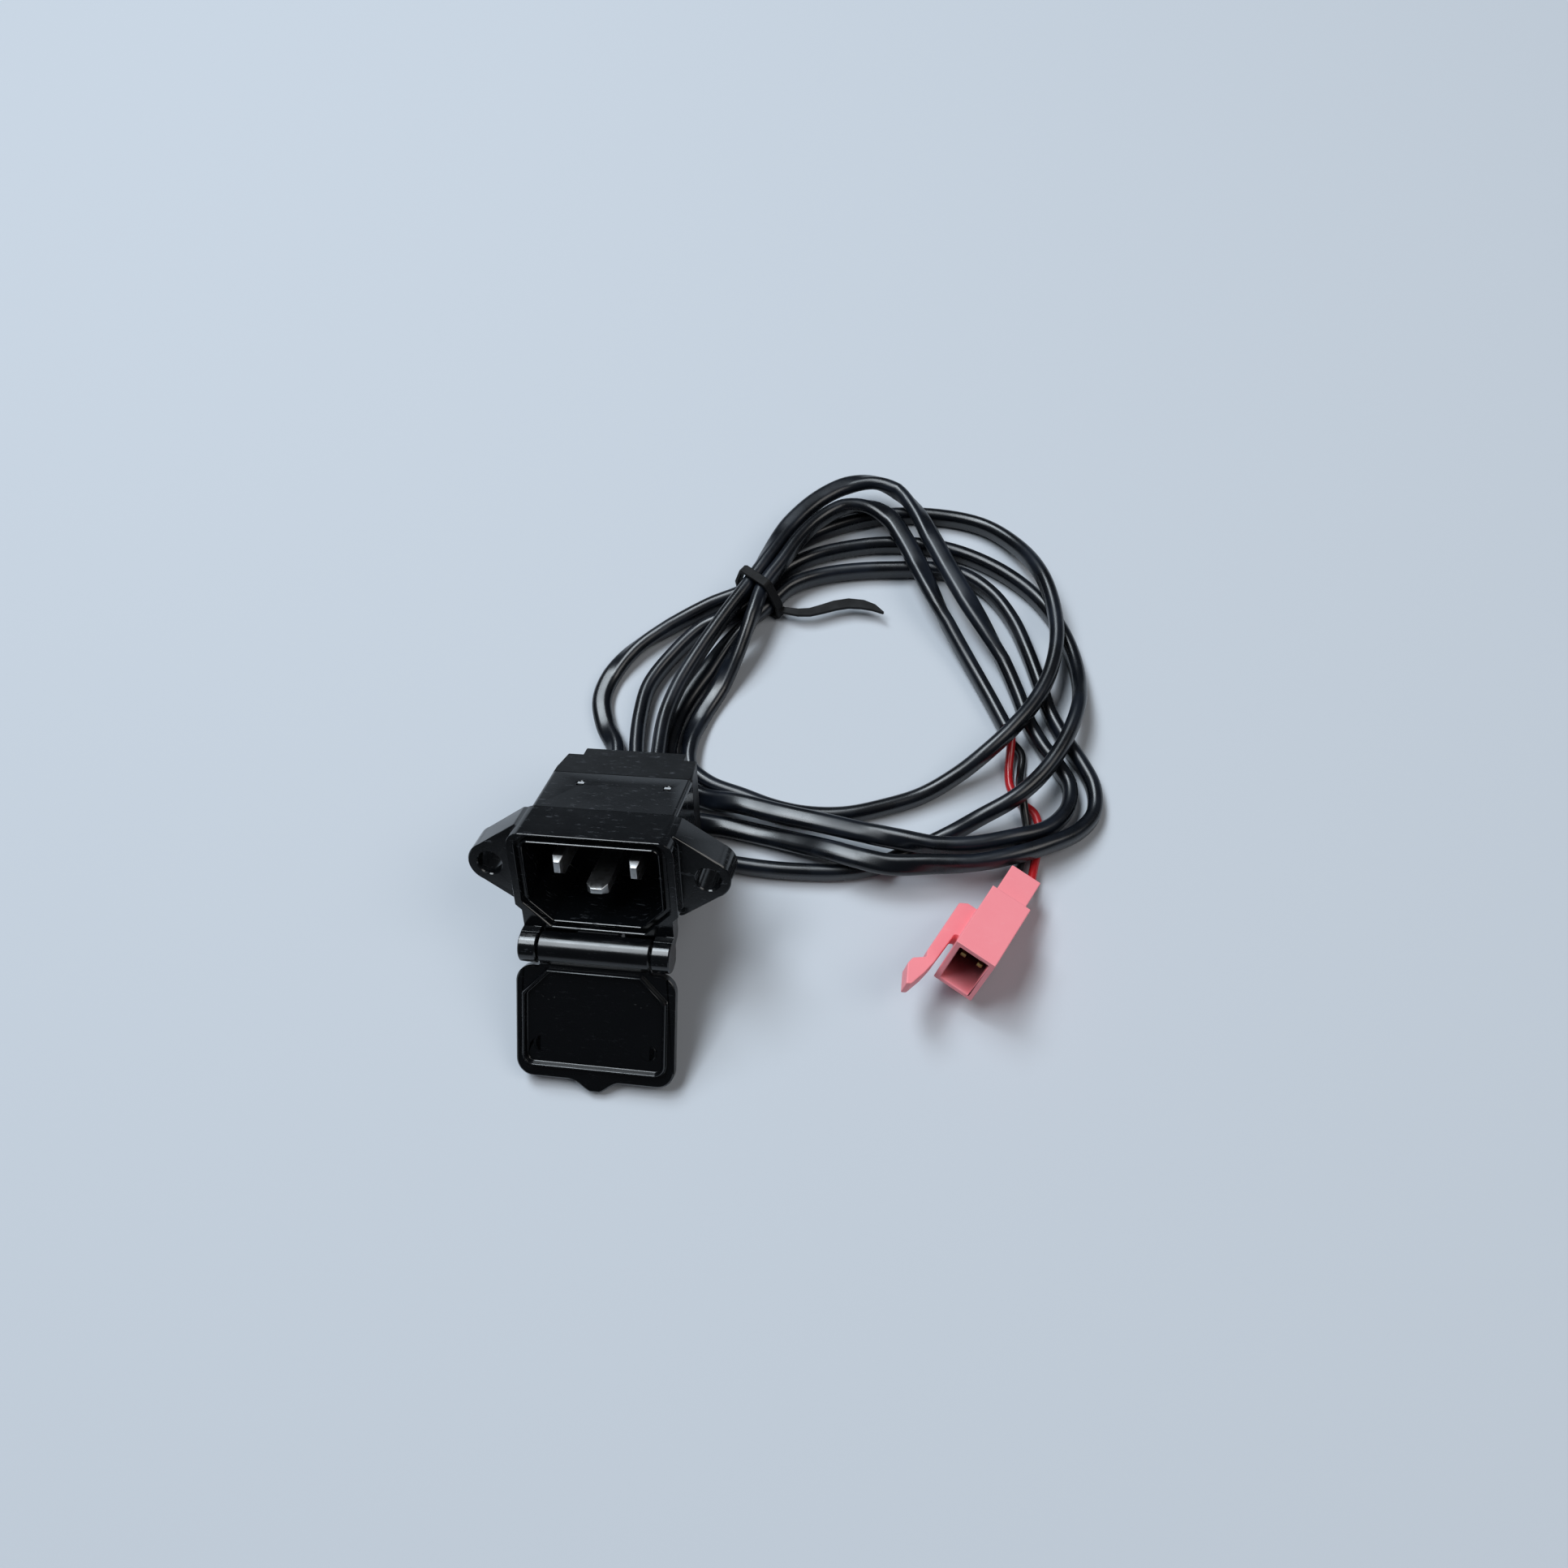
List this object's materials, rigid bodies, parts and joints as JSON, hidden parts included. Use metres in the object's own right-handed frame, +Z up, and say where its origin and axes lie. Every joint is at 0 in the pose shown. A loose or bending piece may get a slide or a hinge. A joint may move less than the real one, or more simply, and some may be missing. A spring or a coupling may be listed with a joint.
{
  "type": "charging port socket",
  "caption": "Panel-mount charging inlet with upright and flat blades, screw ears, a hinged dust cover, a flat coiled lead and a small latching plug at the lead's end.",
  "frame": {"origin": "middle of the socket's footprint at table height, lead and plug left out", "axes": "+X to the socket's right seen from the front, +Y to the rear where the lead leaves, +Z up"},
  "size_m": [0.1132, 0.1414, 0.0359],
  "materials": {
    "housing_plastic": "satin black moulded plastic",
    "cap_plastic": "matt black moulded plastic with light scuffs",
    "cover_plastic": "satin black moulded plastic",
    "pin_steel": "plain steel",
    "blade_nickel": "bright nickel plating",
    "sleeve_rubber": "shrunk sleeve",
    "core_red": "glossy insulation",
    "core_black": "glossy insulation",
    "relief_rubber": "soft moulded rubber",
    "lead_jacket": "glossy flexible jacket",
    "plug_coral": "semi-gloss coral plastic",
    "contact_brass": "plated brass",
    "tie_nylon": "smooth nylon strap"
  },
  "bodies": {
    "socket": {"inlet_housing": "housing_plastic", "rear_cap": "cap_plastic", "hinge_pin": "pin_steel", "line_pin": "blade_nickel", "neutral_pin": "blade_nickel", "earth_pin": "blade_nickel", "line_sleeve": "sleeve_rubber", "neutral_sleeve": "sleeve_rubber", "red_core": "core_red", "black_core": "core_black", "strain_relief": "relief_rubber", "lead": "lead_jacket", "red_wire": "core_red", "black_wire": "core_black", "plug_housing": "plug_coral", "red_contact": "contact_brass", "black_contact": "contact_brass", "cable_tie": "tie_nylon"},
    "cover": {"flip_cover": "cover_plastic"}
  },
  "joints": [
    {"name": "cover_hinge", "type": "hinge", "parent": "socket", "child": "cover", "pos_m": [0, -0.00957, 0.01749], "axis": [-1, 0, 0], "range_deg": [0, 160]}
  ]
}
